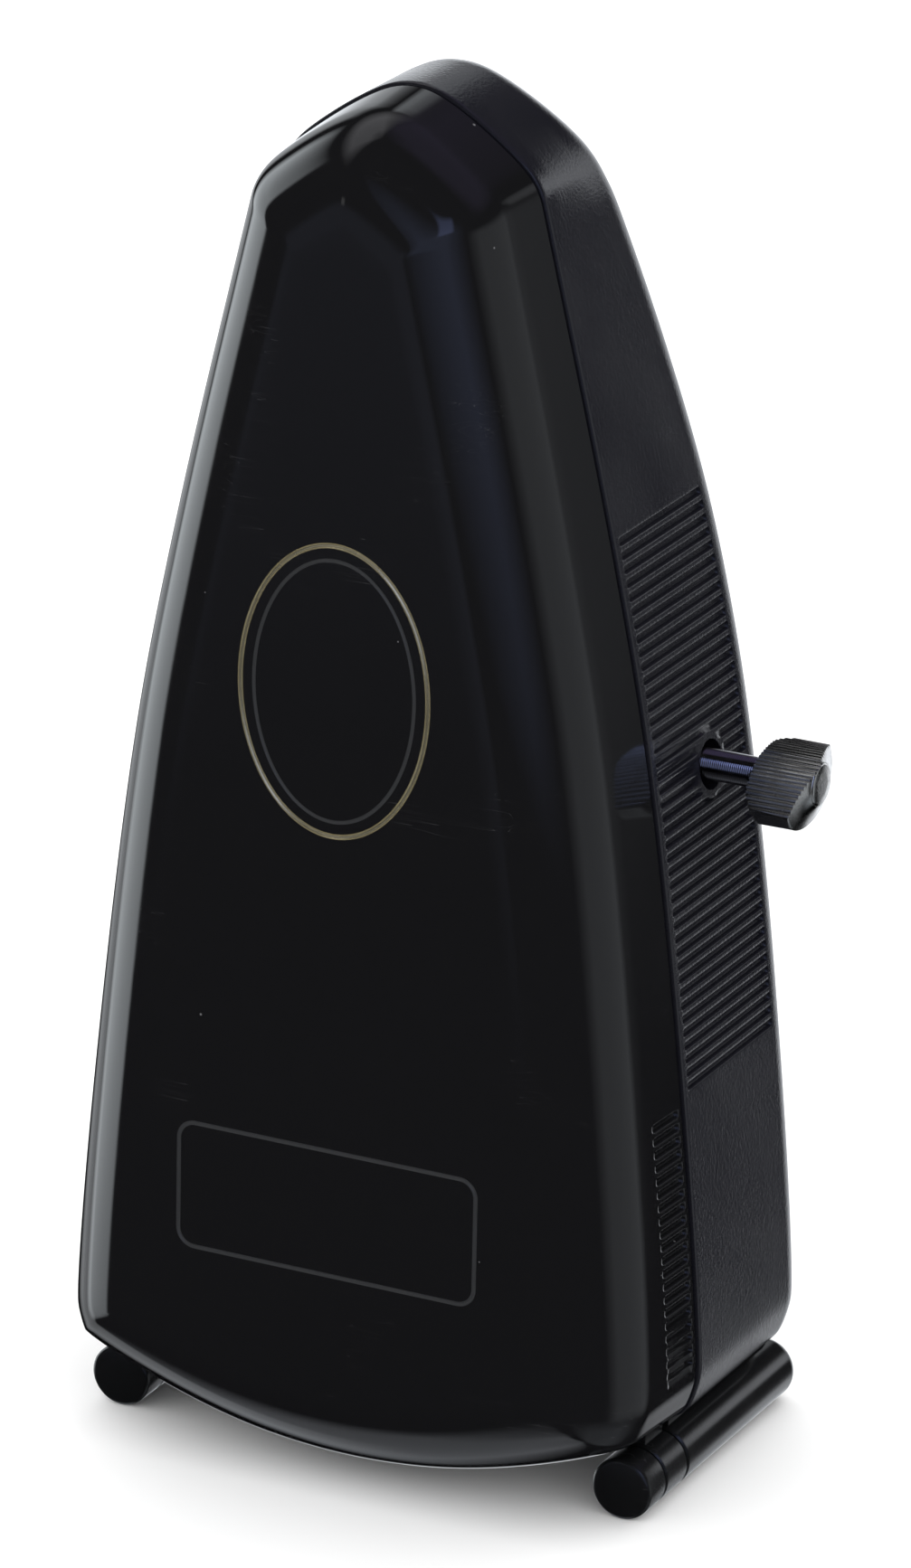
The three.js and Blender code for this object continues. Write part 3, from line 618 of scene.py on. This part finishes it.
def cover_levels(wall, taper):
    """From the middle of the inner face, out over the mouth, to the outer one."""
    bend = BORDER - wall
    levels = []
    for turn, shrink in [(1, 0), (1, 0.5)] + [(t, 1) for t in np.linspace(1, 0, 9)]:
        angle = turn * math.pi / 2
        inset = constant(STEP + wall + taper + bend * (1 - math.cos(angle)))
        drop = wall + bend * (1 - math.sin(angle))
        levels.append((inset, lambda row, z, d=drop: face_at(z) + d, shrink, False))
    for inset, y in ((STEP + wall, -FIT - 0.12), (STEP + wall - 0.12, -FIT), (STEP + 0.2, -FIT)):
        levels.append((constant(inset), constant(y), 1, False))
    for distance in (0.06, 0.25, 0.5, 0.62, 0.7, 0.78, 0.86, 1.0, 1.4, 2.2, 3.2, 4.2,
                     5.2, 5.7, 5.95, 6.04, 6.12, 6.2, 6.3, 6.5, 7.2):
        levels.append(side_level(distance))
    levels += [border_level(part) for part in np.linspace(0, 1, 30)]
    return levels + [border_level(1, shrink) for shrink in (0.66, 0.33, 0)]


def cover_sink(y, z, x):
    return flute_depth(y, z, COVER_FLUTES, COVER_FLUTE_FRONT, COVER_FLUTE_REAR)


def channel_tool(name, points, radius, material):
    """A closed round wire along points (x, z) laid on the cover's face."""
    curve = bpy.data.curves.new(name, "CURVE")
    curve.dimensions = "3D"
    curve.bevel_depth = radius * MM
    curve.bevel_resolution = 2
    line = curve.splines.new("POLY")
    line.points.add(len(points) - 1)
    for point, (x, z) in zip(line.points, points):
        point.co = (x * MM, (face_at(z) - 0.06) * MM, z * MM, 1)
    line.use_cyclic_u = True
    wire = bpy.data.objects.new(name, curve)
    bpy.context.scene.collection.objects.link(wire)
    bpy.context.view_layer.update()
    shape = wire.evaluated_get(bpy.context.evaluated_depsgraph_get())
    solid = bpy.data.objects.new(name + "_solid", bpy.data.meshes.new_from_object(shape))
    solid.data.materials.clear()
    solid.data.materials.append(material)
    bpy.context.scene.collection.objects.link(solid)
    bpy.data.objects.remove(wire)
    return solid


def oval(half_width, half_height, z, count=160):
    """An ellipse centred at height z."""
    turns = np.linspace(0, 2 * math.pi, count, endpoint=False)
    return [(half_width * math.sin(t), z + half_height * math.cos(t)) for t in turns]


def rounded_frame(width, height, corner, z, count=10):
    """A rectangle with rounded corners, centred at height z, clockwise."""
    points = []
    for k, (sx, sz) in enumerate(((1, 1), (1, -1), (-1, -1), (-1, 1))):
        cx, cz = sx * (width / 2 - corner), z + sz * (height / 2 - corner)
        for t in np.linspace(k * math.pi / 2, (k + 1) * math.pi / 2, count):
            points.append((cx + corner * math.sin(t), cz + corner * math.cos(t)))
    return points


cover_black = new_material("cover_black", (0.0052, 0.0052, 0.0058), 0.055)
finished(cover_black, plastic_group, {"Grain": 0.0, "Handling": 0.06, "Dust": 0.8}, 0.000012)
shell = loft(outline_rows(COVER_FLUTES), cover_levels(COVER_WALL, COVER_TAPER), cover_sink)
cover = mesh_object("cover_shell", shell, cover_black)
foil = new_material("mark_foil", (0.80, 0.72, 0.48), 0.22, 0.92)
finished(foil, plastic_group, {"Grain": 1.0, "Handling": 0.2, "Dust": 0.3}, 0.00002)
etch = new_material("mark_etch", (0.026, 0.027, 0.029), 0.4)
finished(etch, plastic_group, {"Grain": 1.0, "Handling": 0.2, "Dust": 0.3}, 0.00002)
OVAL_Z, PLATE_Z = 94, 34
cut_away(cover, channel_tool("oval_outer", oval(11.35, 16.35, OVAL_Z), 0.32, foil))
cut_away(cover, channel_tool("oval_inner", oval(9.7, 14.7, OVAL_Z), 0.24, etch))
blank_plate = rounded_frame(36.6, 14.6, 2, PLATE_Z)
cut_away(cover, channel_tool("nameplate", blank_plate, 0.28, etch))
smooth(cover, 50)
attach(cover, "cover")
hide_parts("front_cover")

# ---- Feet ----
# Two round bars of black ABS pinned under the belly, with a saddle that fills the
# space above. The front of each is a collar and a plugged cap on the cover.
FOOT_X, FOOT_R = 31.5, 3.6
SADDLE_FOOT = 4.4
SADDLE = [(29.3, SADDLE_FOOT), (32.1, SADDLE_FOOT), (32.1, 8.05), (29.3, 6.9)]
foot_black = new_material("foot_black", (0.0040, 0.0042, 0.0046), 0.2)
finished(foot_black, plastic_group, {"Grain": 0.3, "Handling": 0.10, "Dust": 0.6}, 0.00002)


def arc(centre, radius, start, end, count):
    """Points of a turned profile's rounding, (radius, along), angles in degrees."""
    turns = np.radians(np.linspace(start, end, count))
    return [(centre[0] + radius * math.cos(t), centre[1] + radius * math.sin(t)) for t in turns]


def pushed(corners, vector):
    """A flat section given by its corners, in mm, pushed out along a vector."""
    bm = bmesh.new()
    face = bm.faces.new([bm.verts.new(Vector(corner) * MM) for corner in corners])
    moved = bmesh.ops.extrude_face_region(bm, geom=[face])["geom"]
    moved = [v for v in moved if isinstance(v, bmesh.types.BMVert)]
    bmesh.ops.translate(bm, verts=moved, vec=Vector(vector) * MM)
    bmesh.ops.recalc_face_normals(bm, faces=bm.faces)
    return bm


def foot_saddle(side, front, rear, lift):
    """The block above a foot: its section pushed out along the foot, its upper
    corners raised by lift."""
    corners = [(side * x, front, z + lift if z > SADDLE_FOOT else z) for x, z in SADDLE]
    return pushed(corners, (0, rear - front, 0))


def foot_piece(name, side, profile, *saddle):
    """A turned piece of a foot, joined to its saddle where it has one."""
    round_part = turned(profile, (0, 1, 0), (side * FOOT_X, 0, FOOT_R), 96)
    piece = mesh_object(name, round_part, foot_black)
    if saddle:
        block = mesh_object("saddle", foot_saddle(side, *saddle), foot_black)
        cut_away(piece, block, "UNION")
    return smooth(piece, 35)


BAR = [(0, 0.15), (3.4, 0.15), (3.6, 0.38), *arc((1.8, 26.7), 1.8, 0, 90, 14), (0, 28.5)]
COLLAR = [
    (0, -1.6), (2.2, -1.6), (2.2, -5.25), (3.42, -5.25), (3.6, -5.05),
    (3.6, -0.38), (3.4, -0.15), (0, -0.15),
]
CAP = [
    (0, -9.8), (1.2, -9.785), (2.2, -9.74), (2.95, -9.66), *arc((3.1, -9.15), 0.5, -90, 0, 7),
    (3.6, -5.75), (3.42, -5.55), (1.9, -5.55), (1.9, -2.1), (1.7, -1.9), (0, -1.9),
]
for word, side in (("left", -1), ("right", 1)):
    bar = foot_piece("bar_" + word, side, BAR, 1, 26, 0)
    collar = foot_piece("collar_" + word, side, COLLAR, -4.8, -0.6, 0.25)
    cap = foot_piece("cap_" + word, side, CAP)
    parts_of_foot = ((bar, "case", "bar"), (collar, "cover", "collar"), (cap, "cover", "cap"))
    for piece, body, node in parts_of_foot:
        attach(piece, body)
        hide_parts("foot_%s_%s" % (node, word))

# ---- Winding key ----
# A steel tube pressed on the winding arbor, its turning marks left under dark
# chrome, and a nickel plated die-cast grip with one flank serrated lengthways.
def metal_effect():
    """Worked metal: drawn lines along X of its space, tarnish and small pits."""
    group, given, results = effect_group(
        "worked_metal",
        [("Coordinate", "Vector"), ("Base", "Color"), ("Gloss", "Float"), ("Tarnish", "Color"),
         ("Lines", "Float"), ("Age", "Float")],
    )
    drawn = stretched(group, given["Coordinate"], (90.0, 5200.0, 5200.0))
    lines = put(group, "TexNoise", {"Vector": drawn, "Scale": 1.0, "Detail": 3.0}).outputs[0]
    cloud = put(group, "TexNoise", {"Vector": given["Coordinate"], "Scale": 210.0, "Detail": 5.0,
                                    "Roughness": 0.62}).outputs[0]
    stain = put_math(group, "MULTIPLY", put_math(group, "SUBTRACT", cloud, 0.47), 5.0, clamp=True)
    stain = put_math(group, "MULTIPLY", stain, given["Age"])
    shade = put_math(group, "MULTIPLY", put_math(group, "SUBTRACT", lines, 0.5), given["Lines"])
    deep = put_math(group, "ADD", stain, shade, clamp=True)
    color = put_mix(group, deep, given["Base"], given["Tarnish"])
    pits = put(group, "TexVoronoi", {"Vector": given["Coordinate"], "Scale": 900.0})
    pit = put_math(group, "LESS_THAN", pits.outputs["Distance"], 0.10)
    pit = put_math(group, "MULTIPLY", pit, given["Age"])
    rough = put_math(group, "ADD", given["Gloss"], put_math(group, "MULTIPLY", stain, 0.22))
    rough = put_math(group, "ADD", rough, put_math(group, "MULTIPLY", shade, 0.3), clamp=True)
    relief = put_math(group, "MULTIPLY", lines, given["Lines"])
    relief = put_math(group, "SUBTRACT", relief, put_math(group, "MULTIPLY", pit, 0.4))
    for label, value in (("Color", color), ("Roughness", rough), ("Height", relief)):
        group.links.new(value, results.inputs[label])
    return group


metal_group = metal_effect()


def metal(name, color, roughness, tarnish, lines, age):
    material = new_material(name, color, roughness, metallic=1.0)
    values = {"Tarnish": (*tarnish, 1), "Lines": lines, "Age": age}
    return finished(material, metal_group, values, 0.000012)


KNOB_TURN = math.radians(205.4)
KNOB_HALF_WIDTH = 6.2
KNOB_BACK = 4.3
KNOB_CROWN = 2.4
RIDGES = 24
RIDGE_SHAPE = (0, 0.12, 0.36, 0.12)
KEY_AXIS = (1, 0, 0)
nickel = metal("nickel", (0.60, 0.60, 0.59), 0.16, (0.24, 0.23, 0.22), 0.8, 0.6)
chrome = metal("chrome", (0.36, 0.35, 0.38), 0.1, (0.16, 0.15, 0.16), 0.5, 0.4)
SHAFT_R = 1.75
LATHE_MARK, LATHE_FEED = 0.05, 0.24
shaft_profile = [
    (0, 31.6), (1.2, 31.6), (1.2, 27.5), (1.35, 27.3), (1.6, 27.3), (SHAFT_R, 27.45),
]
for along in np.arange(29, 38.4, LATHE_FEED):
    shaft_profile += [(SHAFT_R, along), (SHAFT_R - LATHE_MARK, along + 0.1)]
shaft_profile += [(SHAFT_R, 38.45), (SHAFT_R, 38.6), (0, 38.6)]
tube = turned(shaft_profile, KEY_AXIS, (0, KEY_Y, KEY_Z), 72)
key_tube = mesh_object("key_tube", tube, chrome)
smooth(key_tube, 35)
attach(key_tube, "winder")
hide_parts("key_shaft")

knob_profile = [
    (0, 35.7), (2.3, 35.7), (2.6, 35.78), *arc((3.3, 38.35), 2.62, -72, 0, 9), (5.92, 41.3),
    *arc((5.62, 41.3), 0.3, 0, 70, 5), (4.6, 41.86), (3.6, 42.22), (2.75, 42.62), (2.5, 42.86),
    *arc((2.1, 42.78), 0.3, 20, 80, 5), (1.2, 43.09), (0, 43.1),
]
knob = mesh_object("knob", turned(knob_profile, KEY_AXIS, (0, KEY_Y, KEY_Z), 120), nickel)


def across_knob(w, n):
    """(y, z) of a point w along the grip's flank and n out from its middle."""
    cos, sin = math.cos(KNOB_TURN), math.sin(KNOB_TURN)
    return KEY_Y + w * cos - n * sin, KEY_Z + w * sin + n * cos


section = []
for k in range(RIDGES * 4 + 1):
    t = k / (RIDGES * 2) - 1
    flank = KNOB_CROWN * (t * t - 1) + RIDGE_SHAPE[k % 4]
    section.append((30, *across_knob(KNOB_HALF_WIDTH * t, flank)))
for t in np.linspace(0, math.pi, 40)[1:-1]:
    round_back = across_knob(KNOB_HALF_WIDTH * math.cos(t), KNOB_BACK * math.sin(t))
    section.append((30, *round_back))
grip = mesh_object("grip_section", pushed(section, (20, 0, 0)))
cut_away(knob, grip, "INTERSECT")
bore = turned([(0, 30), (1.9, 30), (1.9, 38.9), (0, 38.9)], KEY_AXIS, (0, KEY_Y, KEY_Z), 48)
cut_away(knob, mesh_object("bore", bore))
smooth(knob, 24)
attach(knob, "winder")
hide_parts("key_knob")

# ---- Inner panel and rod rest ----
# A grey ABS panel closes the mouth of the case behind the pendulum, held by four
# screws. A moulded fork at its top parks the pendulum rod while the cover is on.
panel_grey = new_material("panel_grey", (0.030, 0.031, 0.034), 0.5)
finished(panel_grey, plastic_group, {"Grain": 3.0, "Handling": 0.12, "Dust": 1.0}, 0.00003)
SCREWS = [(-10.5, 137), (10.5, 137), (-28, 24), (28, 24)]
VERGE_Z = 58.8
SCREW_HOLES = [(x, z, 1.1) for x, z in SCREWS]
VERGE_HOLE = (0, VERGE_Z, 2.4)
sheet = [
    (2.4, 2.6, 0), (2.4, 2.6, 0.5), (2.4, 2.6, 1), (2.4, 1.3, 1), (2.46, 1.16, 1), (2.6, 1.1, 1),
    (3.9, 1.1, 1), (4.05, 1.16, 1), (4.2, 1.35, 1), (4.2, 1.35, 0.5), (4.2, 1.35, 0),
]
sheet_levels = [(constant(inset), constant(y), shrink, False) for inset, y, shrink in sheet]
right = right_half()
sheet_rows = both_halves(np.concatenate([right[:-1:3], right[-1:]]))
panel_sheet = mesh_object("panel_sheet", loft(sheet_rows, sheet_levels, None), panel_grey)
for x, z, radius in SCREW_HOLES + [VERGE_HOLE]:
    tool = turned([(0, 0), (radius, 0), (radius, 4), (0, 4)], (0, 1, 0), (x, 0, z), 32)
    cut_away(panel_sheet, mesh_object("panel_hole", tool))
smooth(panel_sheet, 35)
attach(panel_sheet, "case")
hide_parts("inner_panel")


def block(low, high, edge, segments=3):
    """A box between two corners, in mm, with all its edges rounded."""
    low, high = Vector(low), Vector(high)
    bm = bmesh.new()
    bmesh.ops.create_cube(bm, size=1)
    bmesh.ops.scale(bm, verts=bm.verts, vec=(high - low) * MM)
    bmesh.ops.translate(bm, verts=bm.verts, vec=(high + low) * (MM / 2))
    bmesh.ops.bevel(
        bm, geom=list(bm.edges), offset=edge * MM, offset_type="OFFSET", affect="EDGES",
        segments=segments, profile=0.5, material=-1,
    )
    return bm


rest = mesh_object("rest_fork", block((-3.5, 0.2, 134), (3.5, 0.9, 140), 0.2), panel_grey)
arm = mesh_object("rest_arm", block((-2.6, -5.4, 134), (2.6, 0.5, 136), 0.35), panel_grey)
cut_away(rest, arm, "UNION")
cut_away(rest, mesh_object("rest_slot", block((-1.3, -6.2, 133), (1.3, -2.6, 137), 0.3)))
smooth(rest, 40)
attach(rest, "case")
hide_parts("rod_rest")

# ---- Panel screws ----
# Four slotted steel screws with low domed heads, turned, driven into the bosses.
steel = metal("steel", (0.56, 0.57, 0.58), 0.24, (0.25, 0.23, 0.21), 0.7, 0.5)
screw_profile = [
    (0, 0), (1.0, 0.03), (1.6, 0.1), (1.88, 0.22), (2, 0.4), (2, 0.9), (0.8, 0.9),
    (0.8, 8.6), (0.5, 9), (0, 9),
]
for k, (x, z) in enumerate(SCREWS):
    screw = mesh_object(
        "screw_%d" % (k + 1), turned(screw_profile, (0, 1, 0), (x, 0, z), 40), steel
    )
    slot = block((x - 3, -0.4, z - 0.25), (x + 3, 0.35, z + 0.25), 0.02, 1)
    cut_away(screw, mesh_object("screw_slot", slot))
    smooth(screw, 35)
    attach(screw, "case")
    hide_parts("panel_screw_%d" % (k + 1))

# ---- Tempo scale ----
# A thin anodised plate riveted to the panel, printed with the usual tempo numbers
# in two columns and a tick for each, from slow at the top to fast at the bottom.
TEMPI = [
    40, 44, 48, 52, 56, 60, 66, 72, 80, 88, 96, 104, 112, 120, 132, 144, 160, 176, 192, 208,
]
TEMPO_HEIGHTS = np.linspace(123.2, 71, len(TEMPI))
scale_silver = metal("scale_silver", (0.74, 0.72, 0.66), 0.34, (0.42, 0.40, 0.36), 0.4, 0.35)
scale_ink = new_material("scale_ink", (0.012, 0.012, 0.014), 0.45)
finished(scale_ink, plastic_group, {"Grain": 1.0, "Handling": 0.2, "Dust": 0.2}, 0.00001)
sheet = block((-8.5, 0.3, 66), (8.5, 0.8, 128), 0.12)
plate = mesh_object("scale_sheet", sheet, scale_silver)
for z in (68.5, 125.5):
    rivet = turned(
        [(0, 0.02), (0.6, 0.05), (1.0, 0.14), (1.2, 0.32), (1.2, 1.05), (0, 1.05)],
        (0, 1, 0), (0, 0, z), 32,
    )
    cut_away(plate, mesh_object("rivet", rivet, scale_silver), "UNION")
smooth(plate, 35)
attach(plate, "case")
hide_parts("scale_plate")


def printed(words, size, x, z):
    """A word as flat ink on the scale's front, centred on (x, z)."""
    curve = bpy.data.curves.new("print", "FONT")
    curve.body = words
    curve.size = size * MM
    curve.align_x, curve.align_y = "CENTER", "CENTER"
    curve.extrude = 0.008 * MM
    curve.resolution_u = 3
    word = bpy.data.objects.new("print", curve)
    bpy.context.scene.collection.objects.link(word)
    bpy.context.view_layer.update()
    shape = word.evaluated_get(bpy.context.evaluated_depsgraph_get())
    mesh = bpy.data.meshes.new_from_object(shape)
    bpy.data.objects.remove(word)
    upright = Matrix.Rotation(math.pi / 2, 4, "X")
    mesh.transform(Matrix.Translation(Vector((x, 0.295, z)) * MM) @ upright)
    return mesh


bm = bmesh.new()
for k, (tempo, z) in enumerate(zip(TEMPI, TEMPO_HEIGHTS)):
    side = 1 if k % 2 else -1
    mesh = printed(str(tempo), 3.3, side * 5.2, z)
    bm.from_mesh(mesh)
    bpy.data.meshes.remove(mesh)
    inner, outer = sorted((side * 1.3, side * 2.7))
    tick = bpy.data.meshes.new("tick")
    line = block((inner, 0.287, z - 0.11), (outer, 0.303, z + 0.11), 0.004, 1)
    line.to_mesh(tick)
    line.free()
    bm.from_mesh(tick)
    bpy.data.meshes.remove(tick)
bmesh.ops.recalc_face_normals(bm, faces=bm.faces)
marks = mesh_object("scale_print", bm, scale_ink)
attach(marks, "case")
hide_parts("scale_plate")

# ---- Pendulum ----
# A turned steel rod notched once for each tempo, with a brass bob at its foot. A
# lacquered weight with a leaf spring inside slides along it and clicks in place.
ROD_Y = -4
ROD_R, NOTCH_R = 0.9, 0.76
brass = metal("brass", (0.74, 0.53, 0.22), 0.26, (0.33, 0.20, 0.08), 0.6, 0.5)
rod_profile = [(0, 28.3), (0.7, 28.3), (ROD_R, 28.5)]
for z in TEMPO_HEIGHTS[::-1]:
    rod_profile += [
        (ROD_R, z - 0.24), (NOTCH_R, z - 0.1), (NOTCH_R, z + 0.1), (ROD_R, z + 0.24),
    ]
rod_profile += [(ROD_R, 130.4), (0.72, 130.85), (0.4, 131), (0, 131)]
rod = mesh_object("rod", turned(rod_profile, (0, 0, 1), (0, ROD_Y, 0), 32), steel)
smooth(rod, 30)
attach(rod, "pendulum")
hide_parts("pendulum_rod")

bob_profile = [
    (0, -7), (2.0, -7), (2.2, -6.8), (2.4, -7), (5.9, -7), (6.1, -6.8), (6.3, -7), (7.8, -7),
    *arc((7.8, -6.4), 0.6, -90, 0, 7), *arc((7.8, -1.6), 0.6, 0, 90, 7), (0, -1),
]
bob = mesh_object("bob", turned(bob_profile, (0, 1, 0), (0, 0, 35.5), 96), brass)
bore = turned([(0, 28), (1.05, 28), (1.05, 46), (0, 46)], (0, 0, 1), (0, ROD_Y, 0), 32)
cut_away(bob, mesh_object("bob_bore", bore))
smooth(bob, 30)
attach(bob, "pendulum")
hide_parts("counterweight")

weight_red = new_material("weight_red", (0.26, 0.012, 0.012), 0.3)
finished(weight_red, plastic_group, {"Grain": 1.5, "Handling": 0.15, "Dust": 0.6}, 0.00002)
front = ROD_Y - 2.3
corners = [(-5, front, 104.2), (-3.4, front, 95.8), (3.4, front, 95.8), (5, front, 104.2)]
bm = pushed(corners, (0, 4.6, 0))
bmesh.ops.bevel(
    bm, geom=list(bm.edges), offset=0.45 * MM, offset_type="OFFSET", affect="EDGES",
    segments=4, profile=0.5, material=-1,
)
weight = mesh_object("slider", bm, weight_red)
bore = turned([(0, 90), (1.1, 90), (1.1, 110), (0, 110)], (0, 0, 1), (0, ROD_Y, 0), 32)
cut_away(weight, mesh_object("slider_bore", bore))
window = block((-1.4, -4.2, 97.6), (1.4, -2.4, 102.4), 0.1)
cut_away(weight, mesh_object("slider_window", window))
for z in (98, 99.33, 100.67, 102):
    line = block((-2.2, front - 0.3, z - 0.2), (2.2, front + 0.25, z + 0.2), 0.08, 2)
    cut_away(weight, mesh_object("slider_line", line))
smooth(weight, 35)
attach(weight, "weight")
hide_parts("tempo_weight")

LEAF_HALF, LEAF_BOW, LEAF_THICK = 2.1, 0.14, 0.1
bow = np.linspace(-LEAF_HALF, LEAF_HALF, 15)
back = [(-1, -2.72 - LEAF_BOW * (1 - (z / LEAF_HALF) ** 2), 100 + z) for z in bow]
strip = back + [(x, y - LEAF_THICK, z) for x, y, z in back[::-1]]
leaf = mesh_object("slider_leaf", pushed(strip, (2, 0, 0)), steel)
smooth(leaf, 35)
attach(leaf, "weight")
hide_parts("weight_spring")

# ---- Clockwork ----
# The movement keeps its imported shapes. Plates and wheels are stamped brass with
# a drawn finish, arbors and pillars are turned steel, and springs are blued.
blued = metal("blued", (0.075, 0.115, 0.26), 0.25, (0.04, 0.045, 0.07), 0.7, 0.6)
CLOCKWORK = [
    (brass, "plate_left plate_right train_plate verge_bush rear_bearing great_wheel"
            " second_wheel crown_wheel"),
    (steel, "pillar_1 pillar_2 pillar_3 pillar_4 spring_post winding_arbor ratchet_wheel click"
            " second_arbor escape_arbor verge_arbor pallet_front pallet_rear"),
    (blued, "mainspring click_spring"),
]
for material, names in CLOCKWORK:
    for name in names.split():
        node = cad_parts[name]
        node.data.materials.clear()
        node.data.materials.append(material)
